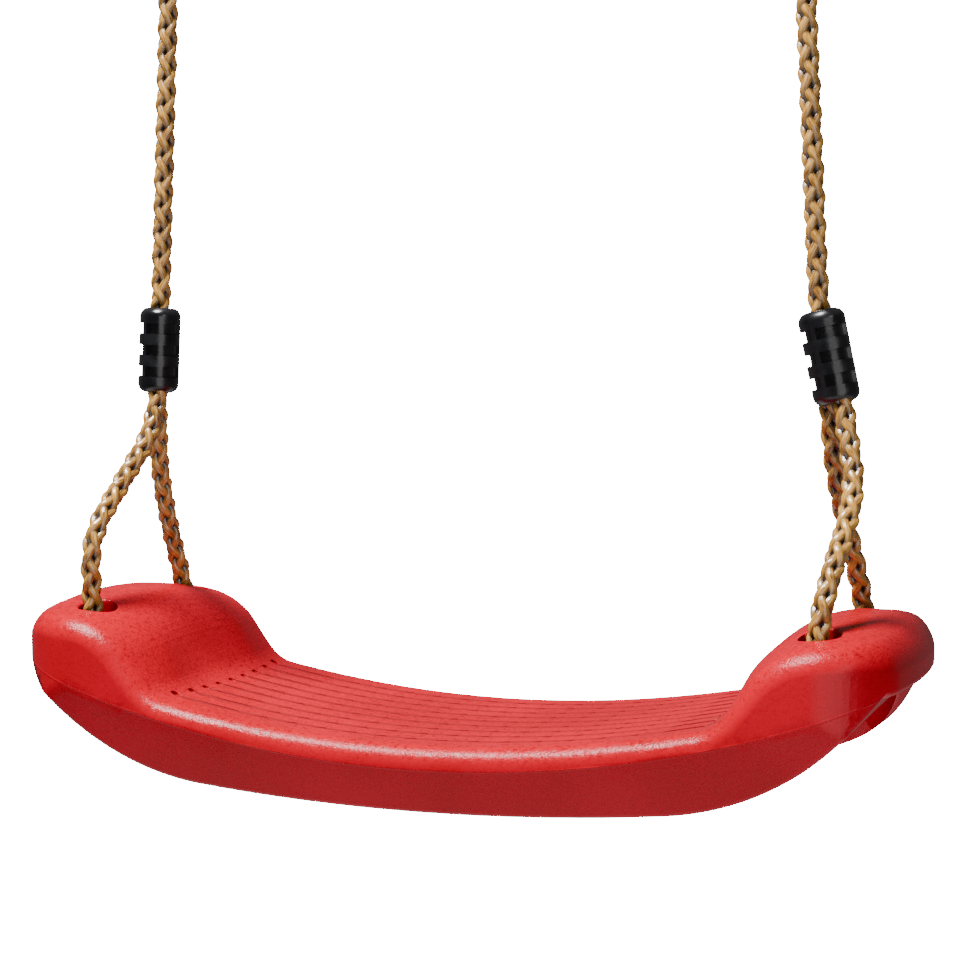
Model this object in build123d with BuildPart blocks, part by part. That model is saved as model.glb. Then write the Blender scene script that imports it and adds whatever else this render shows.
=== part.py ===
from build123d import *

import math
import os

# Playground swing seat: a hollow moulded seat that hangs on two ropes from two steel rings.
#
# Frame, in millimetres: the origin is the middle of the hanging line, which runs through the lowest
# points of the two rings' wire. +X is to the sitter's left along the seat, -Y is the front edge and
# +Z is up.

os.makedirs("parts", exist_ok=True)

# ---- Driving dimensions -------------------------------------------------------------------------

# Seat, overall
seat_length = 428.0
seat_width = 152.0
seat_drop = 395.0  # from the hanging line down to the mouths of the rope holes
horn_top = 2.5  # above the hole mouths
seat_dip = 54.5  # from the hole mouths down to the sitting surface at mid length
rim_drop = 85.0  # from the hole mouths down to the underside rim at mid length
wall = 3.5

# Seat, outline from above
end_bulge_radius = 260.0
corner_radius = 36.0

# Seat, outline from the front
seat_arc_radius = 607.0
slope_angle = 63.0  # the horns' inner slopes, from the horizontal
slope_foot = 132.5  # half the distance between the feet of the slopes
foot_radius = 15.0
crest_radius = 44.0
belly_length = 222.0  # the nearly flat stretch of the underside
belly_radius = 1140.0
end_roll_width = 11.0  # flat underside between each end and the upsweep
end_roll_depth = 25.0  # from the hole mouths down to the underside of each end
top_edge_radius = 9.0
roll_edge_radius = 5.0
rim_edge_radius = 3.0

# Seat, lower walls, which lean in below the parting line
parting_drop = 64.5
parting_rise = 43.8  # from mid length up to the ends
wall_lean = 17.0

# Seat, recess in the underside
recess_depth = 16.0
recess_width = 118.0
end_rail = 18.0  # between the recess and each end
flute_radius = 9.0
flute_depth = 3.5
flute_length = 92.0
flute_pitch = 46.0
flute_count = 5
vent_diameter = 8.0
channel_width = 30.0  # the rope channels under the holes
channel_drop = 36.0  # from the hole mouths down to the channels' roofs

# Seat, grooves in the sitting surface
groove_count = 9
groove_pitch = 13.5
groove_radius = 1.6
groove_reach = 126.3  # half the length of the middle groove
groove_spread = 3.5  # the outer grooves are this much longer at each end
dimple_radius = 2.3

# Rope holes
hole_span_x = 350.0
hole_span_y = 94.0
hole_diameter = 18.5
mouth_radius = 2.0

# Moulded clamps, oval, around two strands of rope
clamp_length = 42.0
clamp_thickness = 20.0
clamp_breadth = 24.0
clamp_edge_radius = 4.5
pocket_rows = 3
pocket_pitch = 10.6
pocket_height = 5.2
pocket_depth = 2.2
rib_thickness = 2.6
rib_count = 3
rib_turn = 13.0  # the first rib's direction, from +X
flex_drop = 254.0  # from the hanging line down to where the ropes flex
flex_span = 329.0
left_clamp_foot = (-166.5, 0, -294.0)
left_clamp_turn = 35.0
right_clamp_foot = (173.5, 0, -298.0)
right_clamp_turn = 40.0
socket_gap = 1.2
flare_angle = 35.0
flare_depth = 4.0
upper_clamp_drop = 43.0

# Rings
ring_span = 306.0
ring_bore = 50.0
ring_wire = 6.0

# Ropes. Each route is the rope's own line, bend by bend.
rope_diameter = 10.0
grip = 8.0  # how far a strand's end is shown inside a clamp
left_loop_route = [
    (-163.3, -4.4, -287.5),
    (-164.8, -6.0, -311.0),
    (-171.5, -30.0, -338.0),
    (-176.0, -52.0, -362.0),
    (-177.8, -48.0, -391.0),
    (-177.7, -47.5, -417.0),
    (-177.8, -46.5, -436.5),
    (-178.0, -22.0, -440.2),
    (-178.2, 22.0, -440.3),
    (-178.3, 46.5, -436.5),
    (-178.2, 47.5, -417.0),
    (-178.0, 46.8, -395.0),
    (-177.6, 31.0, -365.0),
    (-174.5, 15.0, -333.0),
    (-170.5, 7.0, -311.0),
    (-169.0, 4.3, -288.0),
]
right_loop_route = [
    (175.4, -4.3, -291.5),
    (179.0, -6.0, -311.0),
    (184.5, -14.0, -338.0),
    (178.5, -41.0, -370.0),
    (174.5, -48.5, -393.0),
    (174.8, -47.5, -417.0),
    (175.3, -46.5, -436.5),
    (175.8, -22.0, -440.3),
    (176.4, 22.0, -440.2),
    (176.8, 46.5, -436.5),
    (177.3, 47.5, -417.0),
    (177.5, 47.5, -396.0),
    (174.5, 36.0, -371.0),
    (171.4, 19.5, -344.0),
    (169.4, 7.0, -317.0),
    (168.6, 4.3, -291.5),
]
eye_route = [  # across and up from the ring's wire, for either eye
    (-5.2, -49.5),
    (-5.4, -34.0),
    (-9.4, -14.0),
    (-9.2, 9.0),
    (9.2, 9.0),
    (9.4, -14.0),
    (5.4, -34.0),
    (5.2, -49.5),
]

# ---- Derived places -----------------------------------------------------------------------------

hole_z = -seat_drop
half_length = seat_length / 2
half_width = seat_width / 2
upsweep_end = half_length - end_roll_width
recess_end = half_length - end_rail
parting_radius = (half_length**2 + parting_rise**2) / (2 * parting_rise)
rope_radius = rope_diameter / 2
hole_radius = hole_diameter / 2
hole_spots = [(sx * hole_span_x / 2, sy * hole_span_y / 2) for sx in (-1, 1) for sy in (-1, 1)]
surface_z = hole_z - seat_dip
rim_z = hole_z - rim_drop
horn_z = hole_z + horn_top
roll_z = hole_z - end_roll_depth
seat_axis_z = surface_z + seat_arc_radius
riser_lean = (flex_span - ring_span) / 2 / flex_drop
above = 30.0  # how far a cutting shape runs past what it cuts


# ---- Seat ---------------------------------------------------------------------------------------


def on_arc(radius, lowest_z, x):
    """Height at x of an arc whose lowest point is on the centre plane."""
    return lowest_z + radius - math.sqrt(radius**2 - x**2)


def front_outline():
    """The seat as seen from the front, with the horns' tops drawn out past the ends."""
    foot = (slope_foot, on_arc(seat_arc_radius, surface_z, slope_foot))
    crest = (slope_foot + (horn_z - foot[1]) / math.tan(math.radians(slope_angle)), horn_z)
    belly_end = (belly_length / 2, on_arc(belly_radius, rim_z, belly_length / 2))
    outer = half_length + above
    with BuildSketch(Plane.XZ) as outline:
        with BuildLine():
            RadiusArc((0, surface_z), foot, -seat_arc_radius)
            Polyline(foot, crest, (outer, horn_z), (outer, roll_z), (upsweep_end, roll_z))
            belly = RadiusArc((0, rim_z), belly_end, -belly_radius)
            TangentArc(belly_end, (upsweep_end, roll_z), tangent=belly % 1)
            Line((0, rim_z), (0, surface_z))
        make_face()
        fillet(outline.vertices().sort_by_distance(foot)[0], foot_radius)
        fillet(outline.vertices().sort_by_distance(crest)[0], crest_radius)
        mirror(about=Plane.YZ)
    return outline.sketch


def plan_outline():
    """The seat as seen from above: straight sides, rounded corners and bulging ends."""
    end_x = half_length - end_bulge_radius + math.sqrt(end_bulge_radius**2 - half_width**2)
    corner = (end_x, half_width)
    with BuildSketch(Plane.XY.offset(horn_z + above)) as outline:
        with BuildLine():
            Line((0, 0), (0, half_width))
            Line((0, half_width), corner)
            RadiusArc(corner, (half_length, 0), end_bulge_radius)
            Line((half_length, 0), (0, 0))
        make_face()
        mirror(about=Plane.YZ)
        mirror(about=Plane.XZ)
        fillet(outline.vertices().group_by(SortBy.DISTANCE)[-1], corner_radius)
    return outline.sketch


def drawn_in(outline, inset):
    """An outline with its edge moved inwards."""
    return offset(outline, amount=-inset, mode=Mode.PRIVATE) if inset else outline


def seat_block(inset):
    """The seat's body without its recess, every face drawn in by the inset."""
    lean = math.tan(math.radians(wall_lean))
    shift = inset / math.cos(math.radians(wall_lean))
    edge_y = half_width - shift
    with BuildPart() as block:
        extrude(drawn_in(front_outline(), inset), amount=half_width + above, both=True)
        plan = drawn_in(plan_outline(), inset)
        extrude(plan, amount=rim_drop + horn_top + 2 * above, dir=(0, 0, -1), mode=Mode.INTERSECT)
        # Below the parting line both long walls lean in, all the way along the seat's curve.
        with BuildSketch(Plane.YZ):
            with BuildLine():
                Polyline(
                    (0, hole_z - parting_drop - 2 * above),
                    (edge_y - 2 * above * lean, hole_z - parting_drop - 2 * above),
                    (edge_y + above * lean, hole_z - parting_drop + above),
                    (half_width + above, hole_z - parting_drop + above),
                    (half_width + above, hole_z + 3 * above),
                    (0, hole_z + 3 * above),
                    close=True,
                )
            make_face()
            mirror(about=Plane.YZ)
        axis = Axis((0, 0, hole_z - parting_drop + parting_radius), (0, 1, 0))
        revolve(axis=axis, mode=Mode.INTERSECT)
    return block.part


def recess(margin):
    """The open space under the seat, between the two side rails, grown by a margin."""
    rise = recess_depth + margin
    belly_end = (belly_length / 2, on_arc(belly_radius, rim_z, belly_length / 2) + rise)
    end = (recess_end + margin, roll_z + margin)
    floor = rim_z - above
    with BuildPart() as space:
        with BuildSketch(Plane.XZ):
            with BuildLine():
                belly = RadiusArc((0, rim_z + rise), belly_end, -belly_radius)
                TangentArc(belly_end, end, tangent=belly % 1)
                Polyline(end, (end[0], floor), (0, floor), (0, rim_z + rise))
            make_face()
            mirror(about=Plane.YZ)
        extrude(amount=recess_width / 2 + margin, both=True)
        # A deeper channel for the rope across each end, under its pair of holes.
        with BuildSketch(Plane.XZ):
            with Locations(*[(sx * hole_span_x / 2, hole_z - channel_drop + margin) for sx in (-1, 1)]):
                Rectangle(channel_width + 2 * margin, rim_drop, align=(Align.CENTER, Align.MAX))
        extrude(amount=recess_width / 2 + margin, both=True)
        rail = half_width - recess_width / 2
        plan = offset(plan_outline(), amount=margin - rail, mode=Mode.PRIVATE)
        extrude(plan, amount=rim_drop + horn_top + 3 * above, dir=(0, 0, -1), mode=Mode.INTERSECT)
    return space.part


def flutes(margin):
    """Shallow cross channels that stiffen the roof of the recess."""
    with BuildPart() as channels:
        for i in range(flute_count):
            x = (i - (flute_count - 1) / 2) * flute_pitch
            roof = on_arc(belly_radius, rim_z, x) + recess_depth
            with BuildSketch(Plane.XZ):
                with Locations((x, roof + flute_depth - flute_radius)):
                    Circle(flute_radius + margin)
            extrude(amount=flute_length / 2 + margin, both=True)
    return channels.part


def hole_posts(radius):
    """Upright cylinders through the four rope holes."""
    with BuildPart() as posts:
        with BuildSketch(Plane.XY.offset(horn_z + above)):
            with Locations(*hole_spots):
                Circle(radius)
        extrude(amount=-(rim_drop + horn_top + 2 * above))
    return posts.part


def looks_up(face):
    """A face of the sitting surface, the horns' slopes or the horns' tops."""
    return face.normal_at(face.center()).Z > 0.2


def runs_across(edge):
    """A straight edge from one long side of the seat to the other."""
    return edge.geom_type == GeomType.LINE and abs((edge % 0.5).Y) > 0.99


def top_edges(block):
    """The closed loop where the top surfaces meet the upright outer walls."""
    loop = block.faces().filter_by(looks_up).edges()
    return ShapeList(e for e in loop if not runs_across(e))


def groove_cutter():
    """Long grooves that follow the sitting surface, each with a round dimple at both ends."""
    with BuildPart() as cutter:
        for i in range(groove_count):
            row = i - (groove_count - 1) / 2
            y = row * groove_pitch
            reach = groove_reach + groove_spread * (2 * row / (groove_count - 1)) ** 2
            half_turn = math.degrees(math.asin(reach / seat_arc_radius))
            with BuildLine(Plane.XZ.offset(-y)):
                run = CenterArc((0, seat_axis_z), seat_arc_radius, 270 - half_turn, 2 * half_turn)
            with BuildSketch(Plane(run @ 0, z_dir=run % 0)):
                Circle(groove_radius)
            sweep(path=run)
            with Locations(run @ 0, run @ 1):
                Sphere(dimple_radius)
    return cutter.part


def roll_edges(block):
    """The lower edges of the two end rolls."""
    level = block.edges().filter_by_position(Axis.Z, roll_z - 0.01, roll_z + 0.01)
    return level.filter_by(GeomType.CIRCLE)


def rim_edges(block):
    """The long lower edges of the two leaning walls."""
    low = block.edges().filter_by_position(Axis.Z, rim_z - 1, roll_z + 0.01)
    return low.filter_by(GeomType.BSPLINE).filter_by(lambda edge: edge.length > belly_length / 4)


def rounded_block():
    """The seat's body with its outer edges rounded."""
    block = seat_block(0)
    block = block.fillet(top_edge_radius, top_edges(block))
    block = block.fillet(roll_edge_radius, roll_edges(block))
    return block.fillet(rim_edge_radius, rim_edges(block))


def mouth_flare():
    """The shape that rounds the upper mouth of a rope hole."""
    corner = (hole_radius + mouth_radius, horn_z - mouth_radius)
    with BuildPart() as flare:
        with BuildSketch(Plane.XZ):
            with Locations((corner[0] / 2, horn_z)):
                Rectangle(corner[0], 2 * mouth_radius)
            with Locations(corner):
                Circle(mouth_radius, mode=Mode.SUBTRACT)
        revolve(axis=Axis.Z)
    return flare.part


def cavity():
    """The hollow inside the moulding, one wall in from every outer face."""
    with BuildPart() as hollow:
        add(seat_block(wall))
        add(recess(wall), mode=Mode.SUBTRACT)
        add(flutes(wall), mode=Mode.SUBTRACT)
        add(hole_posts(hole_radius + wall), mode=Mode.SUBTRACT)
    return hollow.part


with BuildPart() as seat_shell:
    add(rounded_block())
    add(recess(0), mode=Mode.SUBTRACT)
    add(flutes(0), mode=Mode.SUBTRACT)
    add(cavity(), mode=Mode.SUBTRACT)
    add(hole_posts(hole_radius), mode=Mode.SUBTRACT)
    with Locations(*hole_spots):
        add(mouth_flare(), mode=Mode.SUBTRACT)
    add(groove_cutter(), mode=Mode.SUBTRACT)
    # The hole that the moulding was blown through, in the roof of the recess.
    with BuildSketch(Plane.XY.offset(rim_z)):
        with Locations((flute_pitch / 2, 0)):
            Circle(vent_diameter / 2)
    extrude(amount=recess_depth + 2 * wall, mode=Mode.SUBTRACT)
seat_shell.part.label = "seat_shell"
export_step(seat_shell.part, "parts/seat_shell.step")


# ---- Ropes --------------------------------------------------------------------------------------


def hanging_x(side, drop):
    """Where a rope's straight stretch is, at a height below the hanging line."""
    return side * (ring_span / 2 + riser_lean * drop)


def bend_radii(route):
    """The radius of each bend: as large as its two runs allow."""
    points = [Vector(*p) for p in route]
    radii = []
    for before, here, after in zip(points, points[1:], points[2:]):
        run = min((here - before).length, (after - here).length)
        half_turn = math.radians((here - before).get_angle(after - here)) / 2
        radii.append(0.45 * run / math.tan(half_turn))
    return radii


def rope_along(name, route):
    """A rope that follows a route, its bends rounded."""
    radii = bend_radii(route)
    with BuildPart() as rope:
        with BuildLine() as line:
            path = FilletPolyline(*route, radius=radii)
        with BuildSketch(Plane(path @ 0, z_dir=path % 0)):
            Circle(rope_radius)
        sweep(path=line.line)
    ideal = math.pi * rope_radius**2 * path.length
    print(name, "length %.1f" % path.length, "volume ratio %.4f" % (rope.part.volume / ideal))
    return rope


def riser(side, flex):
    """The straight stretch from a lower clamp up into the upper clamp."""
    top_drop = upper_clamp_foot - grip
    with BuildPart() as rope:
        with BuildLine() as line:
            Line(flex, (hanging_x(side, top_drop), 0, -top_drop))
        with BuildSketch(Plane(line.line @ 0, z_dir=line.line % 0)):
            Circle(rope_radius)
        sweep(path=line.line)
        with Locations(flex):
            Sphere(rope_radius)
    return rope


def eye(name, side):
    """The rope's end, turned round the ring's wire and back into the upper clamp."""
    return rope_along(name, [(hanging_x(side, -z), y, z) for y, z in eye_route])


upper_clamp_foot = upper_clamp_drop + clamp_length
left_flex = (hanging_x(-1, flex_drop), 0, -flex_drop)
right_flex = (hanging_x(1, flex_drop), 0, -flex_drop)
left_rope_loop = rope_along("left_rope_loop", left_loop_route)
right_rope_loop = rope_along("right_rope_loop", right_loop_route)
left_rope_riser = riser(-1, left_flex)
right_rope_riser = riser(1, right_flex)
left_rope_eye = eye("left_rope_eye", -1)
right_rope_eye = eye("right_rope_eye", 1)


# ---- Clamps -------------------------------------------------------------------------------------


def moulded_clamp(twist):
    """A clamp standing on the origin, its long axis turned from +Y."""
    with BuildPart() as body:
        with BuildSketch():
            Ellipse(clamp_thickness / 2, clamp_breadth / 2, rotation=twist)
        extrude(amount=clamp_length)
        fillet(body.edges(), clamp_edge_radius)
        for row in range(pocket_rows):
            low = clamp_length / 2 + (row - (pocket_rows - 1) / 2) * pocket_pitch - pocket_height / 2
            with BuildSketch(Plane.XY.offset(low)):
                Circle(clamp_breadth)
                Ellipse(
                    clamp_thickness / 2 - pocket_depth,
                    clamp_breadth / 2 - pocket_depth,
                    rotation=twist,
                    mode=Mode.SUBTRACT,
                )
                for rib in range(rib_count):
                    angle = rib_turn + rib * 360 / rib_count
                    along = (Align.MIN, Align.CENTER)
                    Rectangle(2 * clamp_breadth, rib_thickness, angle, along, mode=Mode.SUBTRACT)
            extrude(amount=pocket_height, mode=Mode.SUBTRACT)
    return body.part


def clamp_at(foot, head, twist):
    """A clamp that stands on a point and points at another."""
    up = Vector(*head) - Vector(*foot)
    with BuildPart() as clamp:
        with Locations(Plane(foot, x_dir=(1, 0, -up.X / up.Z), z_dir=up).location):
            add(moulded_clamp(twist))
    return clamp


def lower_clamp(foot, flex, twist, loop):
    """A clamp around a loop's two ends, with a flared socket for the rope above."""
    mouth = rope_radius + socket_gap
    clamp = clamp_at(foot, flex, twist)
    with clamp:
        with Locations(flex):
            Sphere(mouth, mode=Mode.SUBTRACT)
        with Locations(Plane(flex, z_dir=Vector(*flex) - Vector(*foot)).location):
            wide = mouth + flare_depth * math.tan(math.radians(flare_angle))
            standing = (Align.CENTER, Align.CENTER, Align.MIN)
            Cone(mouth, wide, flare_depth, align=standing, mode=Mode.SUBTRACT)
        add(loop.part, mode=Mode.SUBTRACT)
    return clamp


left_lower_clamp = lower_clamp(left_clamp_foot, left_flex, left_clamp_turn, left_rope_loop)
right_lower_clamp = lower_clamp(right_clamp_foot, right_flex, right_clamp_turn, right_rope_loop)


def upper_clamp(side, strands):
    """A clamp in line with a straight stretch, around it and both ends of the eye."""
    foot = (hanging_x(side, upper_clamp_foot), 0, -upper_clamp_foot)
    clamp = clamp_at(foot, (side * ring_span / 2, 0, 0), 90)
    with clamp:
        for strand in strands:
            add(strand.part, mode=Mode.SUBTRACT)
    return clamp


left_upper_clamp = upper_clamp(-1, (left_rope_riser, left_rope_eye))
right_upper_clamp = upper_clamp(1, (right_rope_riser, right_rope_eye))

# ---- Rings --------------------------------------------------------------------------------------


def ring(side):
    """A closed wire ring whose lowest wire is on the hanging line."""
    middle = (ring_bore + ring_wire) / 2
    with BuildPart() as wire:
        with Locations(Location((side * ring_span / 2, 0, middle), (90, 0, 0))):
            Torus(middle, ring_wire / 2)
    return wire


left_ring = ring(-1)
right_ring = ring(1)

pieces = {
    "left_lower_clamp": left_lower_clamp,
    "right_lower_clamp": right_lower_clamp,
    "left_upper_clamp": left_upper_clamp,
    "right_upper_clamp": right_upper_clamp,
    "left_rope_loop": left_rope_loop,
    "right_rope_loop": right_rope_loop,
    "left_rope_riser": left_rope_riser,
    "right_rope_riser": right_rope_riser,
    "left_rope_eye": left_rope_eye,
    "right_rope_eye": right_rope_eye,
    "left_ring": left_ring,
    "right_ring": right_ring,
}
for name, piece in pieces.items():
    piece.part.label = name
    export_step(piece.part, f"parts/{name}.step")
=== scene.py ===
"""Playground swing seat: a hollow moulded seat on two plaited ropes, hung from two steel rings."""

import math

import bmesh
import bpy
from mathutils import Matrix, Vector


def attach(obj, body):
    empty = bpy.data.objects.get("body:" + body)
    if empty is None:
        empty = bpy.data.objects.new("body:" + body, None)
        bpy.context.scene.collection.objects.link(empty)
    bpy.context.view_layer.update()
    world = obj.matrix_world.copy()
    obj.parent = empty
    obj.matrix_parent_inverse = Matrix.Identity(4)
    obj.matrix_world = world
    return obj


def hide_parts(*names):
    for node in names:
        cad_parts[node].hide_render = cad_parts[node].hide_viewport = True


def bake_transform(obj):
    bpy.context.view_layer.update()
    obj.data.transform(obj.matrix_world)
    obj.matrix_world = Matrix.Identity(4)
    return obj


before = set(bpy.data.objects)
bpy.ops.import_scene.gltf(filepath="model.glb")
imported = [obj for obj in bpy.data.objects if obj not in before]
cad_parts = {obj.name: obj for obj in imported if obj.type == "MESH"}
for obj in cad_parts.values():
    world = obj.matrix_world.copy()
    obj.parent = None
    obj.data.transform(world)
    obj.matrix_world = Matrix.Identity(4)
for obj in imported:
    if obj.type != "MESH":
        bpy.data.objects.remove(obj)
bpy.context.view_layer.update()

# ---- Camera ----
# The seat is seen from its front right, a little above the level of the rope holes.

eye_level = bpy.data.cameras.new("view")
eye_level.lens = 82.5
eye_level.sensor_width = 36
eye_level.clip_start = 0.02
eye_level.clip_end = 60
viewer = bpy.data.objects.new("view", eye_level)
bpy.context.collection.objects.link(viewer)
viewer.location = (0.3618, -0.972, -0.271)
viewer.rotation_euler = (math.radians(86.47), math.radians(0.3), math.radians(20.2))
bpy.context.scene.camera = viewer

# ---- Studio ----
# A round pale floor far below the hanging seat, under soft light from all round, with one strong
# soft lamp in front and above on the left, and weaker ones at the right, high and low.


def soft_lamp(name, place, target, size, power):
    """A square area lamp that faces a point."""
    lamp = bpy.data.lights.new(name, "AREA")
    lamp.shape = "SQUARE"
    lamp.size = size
    lamp.energy = power
    holder = bpy.data.objects.new(name, lamp)
    holder.location = place
    holder.rotation_euler = (Vector(target) - Vector(place)).to_track_quat("-Z", "Y").to_euler()
    bpy.context.collection.objects.link(holder)


soft_lamp("lamp_above", (-0.40, -0.45, 1.10), (0, 0, -0.42), 0.45, 132)
soft_lamp("lamp_right", (1.4, -1.3, 0.5), (0, 0, -0.4), 0.6, 6)
soft_lamp("lamp_low", (0.9, -1.6, -0.60), (0, 0, -0.46), 1.4, 19)

# The backdrop is a brighter white than the light that it sheds on the seat.
daylight = bpy.data.worlds.new("daylight")
bpy.context.scene.world = daylight
daylight.use_nodes = True
sky = daylight.node_tree
seen = sky.nodes.new("ShaderNodeLightPath")
strength = sky.nodes.new("ShaderNodeMapRange")
sky.links.new(seen.outputs["Is Camera Ray"], strength.inputs["Value"])
strength.inputs["To Min"].default_value = 0.15
strength.inputs["To Max"].default_value = 30.0
sky.nodes["Background"].inputs["Color"].default_value = (1, 1, 1, 1)
sky.links.new(strength.outputs["Result"], sky.nodes["Background"].inputs["Strength"])

floor_radius = 1.3
floor_level = -1.2
floor_sides = 96
floor_rim = [
    (floor_radius * math.cos(turn), floor_radius * math.sin(turn), floor_level)
    for turn in (math.tau * i / floor_sides for i in range(floor_sides))
]
floor_mesh = bpy.data.meshes.new("floor")
floor_mesh.from_pydata(floor_rim, [], [tuple(range(floor_sides))])
floor = bpy.data.objects.new("floor", floor_mesh)
bpy.context.collection.objects.link(floor)
paper = bpy.data.materials.new("pale_paper")
paper.use_nodes = True
paper_shader = paper.node_tree.nodes["Principled BSDF"]
paper_shader.inputs["Base Color"].default_value = (0.66, 0.66, 0.66, 1)
paper_shader.inputs["Roughness"].default_value = 0.9
floor_mesh.materials.append(paper)

# ---- Ropes ----
# Each side has one 10 mm rope, plaited from six thick, glossy golden brown polypropylene yarns, three
# wound each way. It leaves the lower clamp, goes down through the seat's front hole, back under
# the seat and up through the rear hole, then on through both clamps and round the ring.


class Wire:
    """A value in a node tree. Sums written on it add Math nodes, and node() adds any other."""

    def __init__(self, tree, socket=None):
        self.tree = tree
        self.socket = socket

    def feed(self, socket, value):
        """Link a wire to a socket, or set the socket's own value."""
        if isinstance(value, Wire):
            self.tree.links.new(value.socket, socket)
        else:
            socket.default_value = value

    def node(self, kind, settings=None, inputs=None, out=0):
        """Add a node: its settings first, then its sockets' values or links."""
        made = self.tree.nodes.new(kind)
        for key, value in (settings or {}).items():
            if key == "stops":
                while len(made.color_ramp.elements) < len(value):
                    made.color_ramp.elements.new(0.5)
                for stop, (place, colour) in zip(made.color_ramp.elements, value):
                    stop.position = place
                    stop.color = colour
            else:
                setattr(made, key, value)
        for key, value in (inputs or {}).items():
            if isinstance(key, int):
                self.feed(made.inputs[key], value)
            else:
                self.feed(next(s for s in made.inputs if s.name == key and s.enabled), value)
        live = [s for s in made.outputs if s.enabled]
        return Wire(self.tree, live[out]) if live else None

    def out(self, name):
        """Another output of the same node."""
        return Wire(self.tree, self.socket.node.outputs[name])

    def calc(self, operation, *terms):
        """A Math node, or a Vector Math node where a term is a vector."""
        sockets = [t.socket for t in terms if isinstance(t, Wire)]
        vector = any(s.type == "VECTOR" for s in sockets) or any(isinstance(t, tuple) for t in terms)
        kind = "ShaderNodeVectorMath" if vector else "ShaderNodeMath"
        terms = [(t, t, t) if vector and isinstance(t, (int, float)) else t for t in terms]
        return self.node(kind, {"operation": operation}, dict(enumerate(terms)))

    def __add__(self, other):
        return self.calc("ADD", self, other)

    def __radd__(self, other):
        return self.calc("ADD", other, self)

    def __sub__(self, other):
        return self.calc("SUBTRACT", self, other)

    def __rsub__(self, other):
        return self.calc("SUBTRACT", other, self)

    def __mul__(self, other):
        return self.calc("MULTIPLY", self, other)

    def __rmul__(self, other):
        return self.calc("MULTIPLY", other, self)

    def __truediv__(self, other):
        return self.calc("DIVIDE", self, other)

    def band(self, low, high, start=0.0, end=1.0):
        """The value's place between two limits, smoothed, and carried to two others."""
        return self.node(
            "ShaderNodeMapRange",
            {"interpolation_type": "SMOOTHSTEP"},
            {"Value": self, "From Min": low, "From Max": high, "To Min": start, "To Max": end},
        )

    def mix(self, first, second):
        """A colour between two others, by this value."""
        return self.node(
            "ShaderNodeMix", {"data_type": "RGBA"}, {"Factor": self, "A": first, "B": second}
        )

    def noise(self, where, scale, detail=2.0, roughness=0.5):
        """Plain noise, from 0 to 1, at places that a vector gives."""
        return self.node(
            "ShaderNodeTexNoise",
            {},
            {"Vector": where, "Scale": scale, "Detail": detail, "Roughness": roughness},
        )


def new_material(name):
    """A material, its shader, and a wire to write its values with."""
    material = bpy.data.materials.new(name)
    material.use_nodes = True
    return material, material.node_tree.nodes["Principled BSDF"], Wire(material.node_tree)


rope_fibre, rope_shader, w = new_material("rope_fibre")
grain = w.node("ShaderNodeAttribute", {"attribute_name": "grain"}).out("Vector")
height = w.node("ShaderNodeAttribute", {"attribute_name": "height"}).out("Fac")
solid = w.node("ShaderNodeTexCoord").out("Object")
film = w.noise(grain * (1.0, 1.0, 0.10), 3.2, 5.0, 0.6)
tone = w.noise(solid, 55.0, 2.0)
# Points near the rope's middle, down between the yarns, are painted nearly black: painted shade in the
# gaps between the yarns.
painted_gap_shade_factor = height.band(3.1, 4.9)
shade = (film * 0.75 + tone * 0.35).band(0.32, 0.78)
gold = shade.mix((0.075, 0.024, 0.003, 1), (0.52, 0.265, 0.046, 1))
w.feed(rope_shader.inputs["Base Color"], painted_gap_shade_factor.mix((0.014, 0.004, 0.001, 1), gold))
w.feed(rope_shader.inputs["Roughness"], film.band(0.3, 0.7, 0.14, 0.32))
rope_shader.inputs["Specular IOR Level"].default_value = 0.8
ridges = w.node(
    "ShaderNodeBump", {}, {"Strength": 0.55, "Distance": 0.0004, "Height": film}
)
w.feed(rope_shader.inputs["Normal"], ridges)

# The tree that plaits yarns along a line: three yarns turn one way and three the other, and each
# goes over one and under the next.
plait = bpy.data.node_groups.new("plait", "GeometryNodeTree")
plait_inputs = {
    "Line": "NodeSocketGeometry",
    "Yarn radius": "NodeSocketFloat",
    "Middle radius": "NodeSocketFloat",
    "Over and under": "NodeSocketFloat",
    "Pitch": "NodeSocketFloat",
    "Step": "NodeSocketFloat",
    "Fibre": "NodeSocketMaterial",
}
plait_keys = {}
for key, kind in plait_inputs.items():
    item = plait.interface.new_socket(key, in_out="INPUT", socket_type=kind)
    plait_keys[key] = item.identifier
plait.interface.new_socket("Rope", in_out="OUTPUT", socket_type="NodeSocketGeometry")
g = Wire(plait)
given = g.node("NodeGroupInput")


def stored(geometry, name, value, kind="FLOAT_VECTOR", domain="POINT"):
    """Geometry that carries a named attribute."""
    return g.node(
        "GeometryNodeStoreNamedAttribute",
        {"data_type": kind, "domain": domain},
        {"Geometry": geometry, "Name": name, "Value": value},
    )


def recalled(name, kind="FLOAT_VECTOR"):
    """The field of a named attribute."""
    return g.node("GeometryNodeInputNamedAttribute", {"data_type": kind}, {"Name": name})


line = g.node("GeometryNodeMeshToCurve", {}, {"Mesh": given.out("Line")})
line = g.node(
    "GeometryNodeResampleCurve", {"mode": "LENGTH"}, {"Curve": line, "Length": given.out("Step")}
)
tangent = g.node("GeometryNodeInputTangent")
normal = g.node("GeometryNodeInputNormal")
line = stored(line, "middle", g.node("GeometryNodeInputPosition"))
line = stored(line, "side", normal)
line = stored(line, "other_side", g.calc("CROSS_PRODUCT", tangent, normal))
run = g.node("GeometryNodeSplineParameter").out("Length")
line = stored(line, "run", run, "FLOAT")
yarns = g.node("GeometryNodeDuplicateElements", {"domain": "SPLINE"}, {"Geometry": line, "Amount": 6})
which = yarns.out("Duplicate Index")
yarn_spread = 7.3  # keeps each yarn's fibres unlike the next one's
handed = 1 - 2 * g.calc("MODULO", which, 2.0)
third = g.calc("FLOOR", which / 2.0) * (math.tau / 3)
turned = recalled("run", "FLOAT") / given.out("Pitch") * math.tau
angle = handed * turned + third
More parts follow.
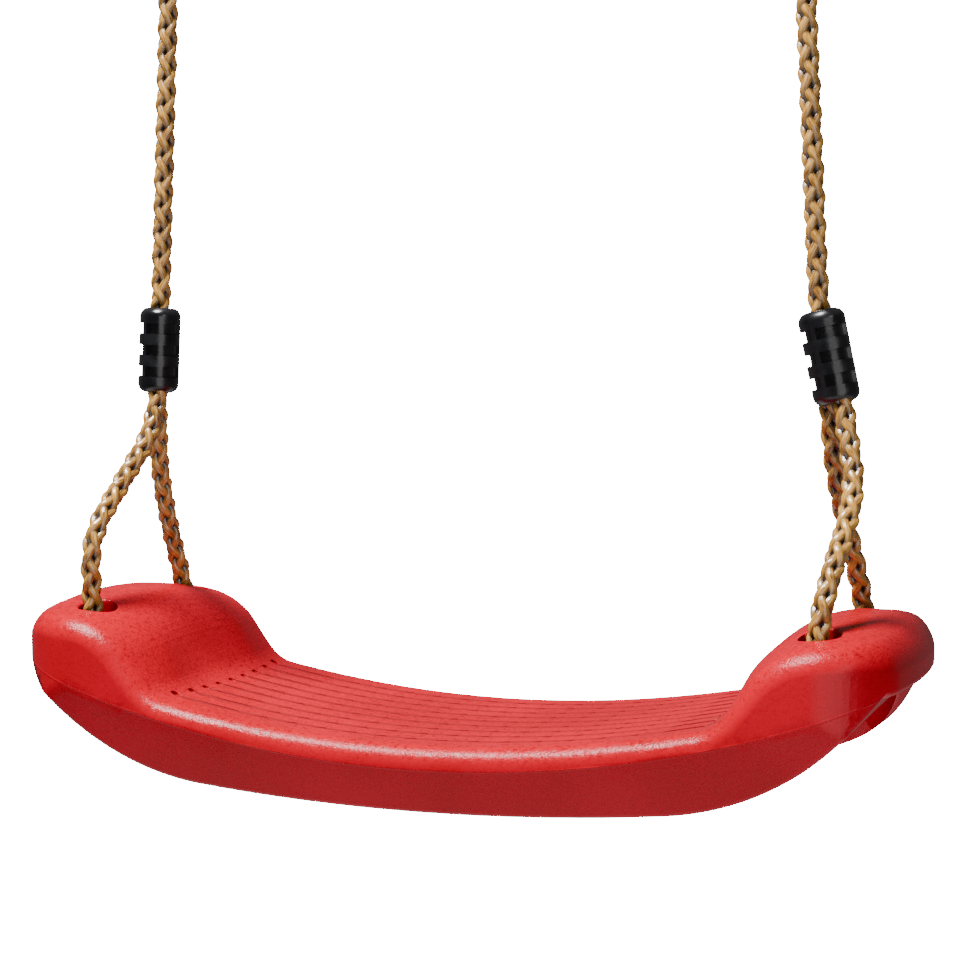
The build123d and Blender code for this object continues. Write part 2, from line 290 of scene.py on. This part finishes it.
rise = g.calc("COSINE", turned * 3.0) * handed * given.out("Over and under")
reach = rise + given.out("Middle radius")
yarns = stored(yarns, "yarn", which * yarn_spread, "FLOAT")
sideways = g.calc("SCALE", recalled("side"))
g.feed(sideways.socket.node.inputs["Scale"], reach * g.calc("COSINE", angle))
otherways = g.calc("SCALE", recalled("other_side"))
g.feed(otherways.socket.node.inputs["Scale"], reach * g.calc("SINE", angle))
yarns = g.node(
    "GeometryNodeSetPosition",
    {},
    {"Geometry": yarns, "Position": recalled("middle") + sideways + otherways},
)
section = g.node(
    "GeometryNodeCurvePrimitiveCircle", {}, {"Resolution": 10, "Radius": given.out("Yarn radius")}
)
around = g.node("GeometryNodeSplineParameter") * math.tau
round_place = g.node(
    "ShaderNodeCombineXYZ", {}, {"X": g.calc("COSINE", around), "Y": g.calc("SINE", around), "Z": 0.0}
)
section = stored(section, "round", round_place)
tubes = g.node(
    "GeometryNodeCurveToMesh", {}, {"Curve": yarns, "Profile Curve": section, "Fill Caps": True}
)
along = g.node(
    "ShaderNodeCombineXYZ",
    {},
    {"X": recalled("yarn", "FLOAT"), "Y": 0.0, "Z": recalled("run", "FLOAT") * 1000.0},
)
tubes = stored(tubes, "grain", recalled("round") + along)
# The distance from the rope's middle, which the fibre material reads to paint shade in the gaps between
# the yarns.
off_axis = g.calc("LENGTH", g.node("GeometryNodeInputPosition") - recalled("middle"))
tubes = stored(tubes, "height", off_axis.out("Value") * 1000.0, "FLOAT")
tubes = g.node("GeometryNodeSetShadeSmooth", {}, {"Geometry": tubes})
tubes = g.node("GeometryNodeRealizeInstances", {}, {"Geometry": tubes})
tubes = g.node("GeometryNodeSetMaterial", {}, {"Geometry": tubes, "Material": given.out("Fibre")})
g.node("NodeGroupOutput", {}, {"Rope": tubes})

rope_routes = {
    "left": [
        (-0.1633, -0.0044, -0.2875),
        (-0.1648, -0.006, -0.311),
        (-0.1715, -0.030, -0.338),
        (-0.176, -0.052, -0.362),
        (-0.1778, -0.048, -0.391),
        (-0.1777, -0.0475, -0.417),
        (-0.1778, -0.0465, -0.4365),
        (-0.178, -0.022, -0.4402),
        (-0.1782, 0.022, -0.4403),
        (-0.1783, 0.0465, -0.4365),
        (-0.1782, 0.0475, -0.417),
        (-0.178, 0.0468, -0.395),
        (-0.1776, 0.031, -0.365),
        (-0.1745, 0.015, -0.333),
        (-0.1705, 0.007, -0.311),
        (-0.169, 0.0043, -0.288),
        (-0.1645, 0.0, -0.254),
        (-0.1630, 0.0, -0.220),
        (-0.1582, 0.0, -0.114),
        (-0.1572, -0.0005, -0.093),
        (-0.1554, -0.0052, -0.0495),
        (-0.1545, -0.0054, -0.034),
        (-0.1536, -0.0094, -0.014),
        (-0.1526, -0.0092, 0.009),
        (-0.1526, 0.0092, 0.009),
        (-0.1536, 0.0094, -0.014),
        (-0.1545, 0.0054, -0.034),
        (-0.1554, 0.0052, -0.0495),
    ],
    "right": [
        (0.1754, -0.0043, -0.2915),
        (0.179, -0.006, -0.311),
        (0.1845, -0.014, -0.338),
        (0.1785, -0.041, -0.370),
        (0.1745, -0.0485, -0.393),
        (0.1748, -0.0475, -0.417),
        (0.1753, -0.0465, -0.4365),
        (0.1758, -0.022, -0.4403),
        (0.1764, 0.022, -0.4402),
        (0.1768, 0.0465, -0.4365),
        (0.1773, 0.0475, -0.417),
        (0.1775, 0.0475, -0.396),
        (0.1745, 0.036, -0.371),
        (0.1714, 0.0195, -0.344),
        (0.1694, 0.007, -0.317),
        (0.1686, 0.0043, -0.2915),
        (0.1645, 0.0, -0.254),
        (0.1630, 0.0, -0.220),
        (0.1582, 0.0, -0.114),
        (0.1572, -0.0005, -0.093),
        (0.1554, -0.0052, -0.0495),
        (0.1545, -0.0054, -0.034),
        (0.1536, -0.0094, -0.014),
        (0.1526, -0.0092, 0.009),
        (0.1526, 0.0092, 0.009),
        (0.1536, 0.0094, -0.014),
        (0.1545, 0.0054, -0.034),
        (0.1554, 0.0052, -0.0495),
    ],
}


def smooth_line(name, route):
    """The points of the smooth line that a rope takes along its route."""
    curve = bpy.data.curves.new(name, "CURVE")
    curve.dimensions = "3D"
    spline = curve.splines.new("NURBS")
    spline.points.add(len(route) - 1)
    for point, place in zip(spline.points, route):
        point.co = (*place, 1)
    spline.order_u = 3
    spline.use_endpoint_u = True
    spline.resolution_u = 10
    holder = bpy.data.objects.new(name, curve)
    bpy.context.collection.objects.link(holder)
    bpy.context.view_layer.update()
    mesh = bpy.data.meshes.new_from_object(holder)
    bpy.data.objects.remove(holder)
    return mesh


def made_by(tree, keys, values, mesh, name):
    """A plain mesh object: the result of a node tree on a starting mesh."""
    start = bpy.data.objects.new(name, mesh)
    bpy.context.collection.objects.link(start)
    modifier = start.modifiers.new("tree", "NODES")
    modifier.node_group = tree
    for key, value in values.items():
        modifier[keys[key]] = value
    bpy.context.view_layer.update()
    result = bpy.data.meshes.new_from_object(start.evaluated_get(bpy.context.evaluated_depsgraph_get()))
    bpy.data.objects.remove(start)
    piece = bpy.data.objects.new(name, result)
    bpy.context.collection.objects.link(piece)
    return piece


for side, route in rope_routes.items():
    line_mesh = smooth_line(f"{side}_rope", route)
    rope = made_by(
        plait,
        plait_keys,
        {
            "Yarn radius": 0.00218,
            "Middle radius": 0.00252,
            "Over and under": 0.00058,
            "Pitch": 0.0372,
            "Step": 0.0010,
            "Fibre": rope_fibre,
        },
        line_mesh,
        f"{side}_rope",
    )
    rope.data.validate()
    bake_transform(rope)
    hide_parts(f"{side}_rope_loop", f"{side}_rope_riser", f"{side}_rope_eye")

# ---- Seat ----
# One hollow blow moulding in crimson polyethylene, with a fine sandy grain that is strongest on
# its upper faces, a thin parting line round its sides, and grooves along the sitting surface.

groove_pitch = 0.0135

seat_plastic, seat_shader, w = new_material("seat_plastic")
place = w.node("ShaderNodeTexCoord").out("Object")
facing = w.node("ShaderNodeTexCoord").out("Normal")
upward = w.node("ShaderNodeSeparateXYZ", {}, {"Vector": facing}).out("Z").band(0.15, 0.75)
cloud = w.noise(place, 14.0, 3.0)
sand = w.noise(place, 1000.0, 2.0, 0.6)
pebble = w.noise(place, 420.0, 3.0, 0.6)
orange_peel = w.noise(place, 110.0, 2.0)
red = cloud.band(0.3, 0.7).mix((0.28, 0.0, 0.006, 1), (0.34, 0.0, 0.009, 1))
pits = (sand * 0.5 + pebble * 0.5).band(0.36, 0.50, 1.0, 0.0)
red = (pits * (0.15 + 0.45 * upward)).mix(red, (0.10, 0.0, 0.001, 1))
# Light red specks, mostly on upward faces: painted highlights on the grain, as if lit from above.
painted_speck_highlight = (sand * 0.6 + pebble * 0.4).band(0.56, 0.70)
red = (painted_speck_highlight * (0.04 + 0.20 * upward)).mix(red, (0.66, 0.02, 0.035, 1))
# The grooves in the sitting surface are painted darker and made rougher: painted shade in the grooves.
where = w.node("ShaderNodeSeparateXYZ", {}, {"Vector": place})
row_place = w.calc("FRACT", where.out("Y") / groove_pitch + 10.5) - 0.5  # 0 in the middle of a groove
in_row = (w.calc("ABSOLUTE", row_place) * groove_pitch).band(0.0012, 0.0026, 1.0, 0.0)
in_reach = w.calc("ABSOLUTE", where.out("X")).band(0.1275, 0.1290, 1.0, 0.0)
in_rows = w.calc("ABSOLUTE", where.out("Y")).band(0.0560, 0.0570, 1.0, 0.0)
on_top = where.out("Z").band(-0.4580, -0.4550)
painted_groove_shade = in_row * in_reach * in_rows * on_top
red = (painted_groove_shade * 0.85).mix(red, (0.12, 0.0, 0.002, 1))
w.feed(seat_shader.inputs["Base Color"], red)
gloss = (pebble * 0.6 + cloud * 0.4).band(0.35, 0.65, 0.24, 0.36)
w.feed(seat_shader.inputs["Roughness"], gloss + painted_groove_shade * 0.5)
seat_shader.inputs["Specular IOR Level"].default_value = 0.13
# The parting line runs at one distance from a far centre above the seat.
parting_radius = 0.5447
parting_centre = 0.0852
from_centre = (place - (0.0, 0.0, parting_centre)) * (1.0, 0.0, 1.0)
off_line = w.calc("ABSOLUTE", w.calc("LENGTH", from_centre).out("Value") - parting_radius)
flash = off_line.band(0.0001, 0.0006, 1.0, 0.0)
grain = (sand * 0.4 + pebble * 0.5) * (0.22 + 0.78 * upward)
relief = w.node(
    "ShaderNodeBump",
    {},
    {
        "Strength": 0.85,
        "Distance": 0.0006,
        "Height": grain + orange_peel * 0.22 + flash * 0.2,
    },
)
w.feed(seat_shader.inputs["Normal"], relief)

# The horns, the slopes and the rear rail of the casting are rounded off by moving their points.
# Each pair of limits is where a change fades in, from none to all of it.
horn_level = -0.3925
horn_side = (-0.428, horn_level - 0.004)
end_side = (-0.419, horn_level - 0.004)
slope_lower = (-0.446, -0.420)
slope_upper = (-0.418, horn_level)
slope_outer = (0.158, 0.180)
half_width = 0.072  # out to where the sides' rounding starts
rail_upper = (-0.440, -0.415)
rail_inner = (0.040, 0.060)
rail_along = (0.135, 0.188)
end_reach = 0.214
longest_edge = 0.007
fine_above = -0.44
horn_crown = 0.0012  # the horns' tops stand this much higher at mid width
crown_radius = 0.315
end_rounding = 0.011  # the horns' outer ends drop by this much
end_rounding_start = 0.192
slope_bulge = 0.0022  # the slopes stand this far in at mid width
slope_sweep = 0.0072  # and sweep back by this much to the seat's long edges
rail_sag = 0.0085  # how much lower the rear rail comes near the ends


def eased(value, low, high):
    """A smooth step from 0 to 1 between two limits."""
    t = min(max((value - low) / (high - low), 0), 1)
    return t * t * (3 - 2 * t)


cast = bpy.data.objects["seat_shell"]
skin = bmesh.new()
skin.from_mesh(cast.data)
bmesh.ops.remove_doubles(skin, verts=skin.verts, dist=2e-6)
for _ in range(5):
    upper = [e for e in skin.edges if max(v.co.z for v in e.verts) > fine_above]
    long_edges = [e for e in upper if e.calc_length() > longest_edge]
    bmesh.ops.subdivide_edges(skin, edges=long_edges, cuts=1)
    bmesh.ops.triangulate(skin, faces=skin.faces)
for vert in skin.verts:
    x, y, z = vert.co
    rise = horn_crown - y * y / (2 * crown_radius)
    past = max(abs(x) - end_rounding_start, 0) / (end_reach - end_rounding_start)
    vert.co.z += rise * eased(z, *horn_side)
    vert.co.z -= end_rounding * past**2 * eased(z, *end_side)
    on_slope = eased(z, *slope_lower) * (1 - eased(z, *slope_upper)) * (1 - eased(abs(x), *slope_outer))
    vert.co.x += math.copysign((slope_sweep * (y / half_width) ** 2 - slope_bulge) * on_slope, x)
    low_rear = (1 - eased(z, *rail_upper)) * eased(y, *rail_inner) * eased(abs(x), *rail_along)
    vert.co.z -= rail_sag * low_rear
seat_mesh = bpy.data.meshes.new("seat")
skin.to_mesh(seat_mesh)
skin.free()
seat_mesh.shade_smooth()
seat_mesh.set_sharp_from_angle(angle=math.radians(32))
seat_mesh.materials.clear()
seat_mesh.materials.append(seat_plastic)
seat = bpy.data.objects.new("seat", seat_mesh)
bpy.context.collection.objects.link(seat)
# Large faces keep their own direction where they meet the narrow ones of the roundings.
evened = seat.modifiers.new("evened", "WEIGHTED_NORMAL")
evened.keep_sharp = True
evened.weight = 90
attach(seat, "seat")
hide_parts("seat_shell")

# ---- Clamps ----
# Black glossy mouldings that close round two strands of rope: barrels with three rows of shallow
# pockets and softly rounded edges.

clamp_plastic, clamp_shader, w = new_material("clamp_plastic")
place = w.node("ShaderNodeTexCoord").out("Object")
haze = w.noise(place, 120.0, 3.0)
black = haze.band(0.3, 0.7).mix((0.002, 0.002, 0.0025, 1), (0.005, 0.005, 0.006, 1))
w.feed(clamp_shader.inputs["Base Color"], black)
w.feed(clamp_shader.inputs["Roughness"], haze.band(0.3, 0.7, 0.20, 0.34))
clamp_shader.inputs["Specular IOR Level"].default_value = 0.35
fine_grain = w.noise(place, 420.0, 2.0)
moulded = w.node("ShaderNodeBump", {}, {"Strength": 0.25, "Distance": 0.0004, "Height": fine_grain})
w.feed(clamp_shader.inputs["Normal"], moulded)
for name in ("left_lower_clamp", "right_lower_clamp", "left_upper_clamp", "right_upper_clamp"):
    clamp = bpy.data.objects[name]
    clamp.data.materials.clear()
    clamp.data.materials.append(clamp_plastic)

# ---- Rings ----
# Closed rings of 6 mm zinc plated steel wire, 50 mm inside. Each hangs on the frame's hook and
# holds the eye of one rope.

ring_steel, ring_shader, w = new_material("ring_steel")
place = w.node("ShaderNodeTexCoord").out("Object")
spangle = w.noise(place, 160.0, 4.0)
zinc = spangle.band(0.3, 0.7).mix((0.50, 0.50, 0.50, 1), (0.68, 0.68, 0.67, 1))
w.feed(ring_shader.inputs["Base Color"], zinc)
w.feed(ring_shader.inputs["Roughness"], spangle.band(0.3, 0.7, 0.22, 0.38))
ring_shader.inputs["Metallic"].default_value = 1.0
for name in ("left_ring", "right_ring"):
    ring = bpy.data.objects[name]
    ring.data.materials.clear()
    ring.data.materials.append(ring_steel)
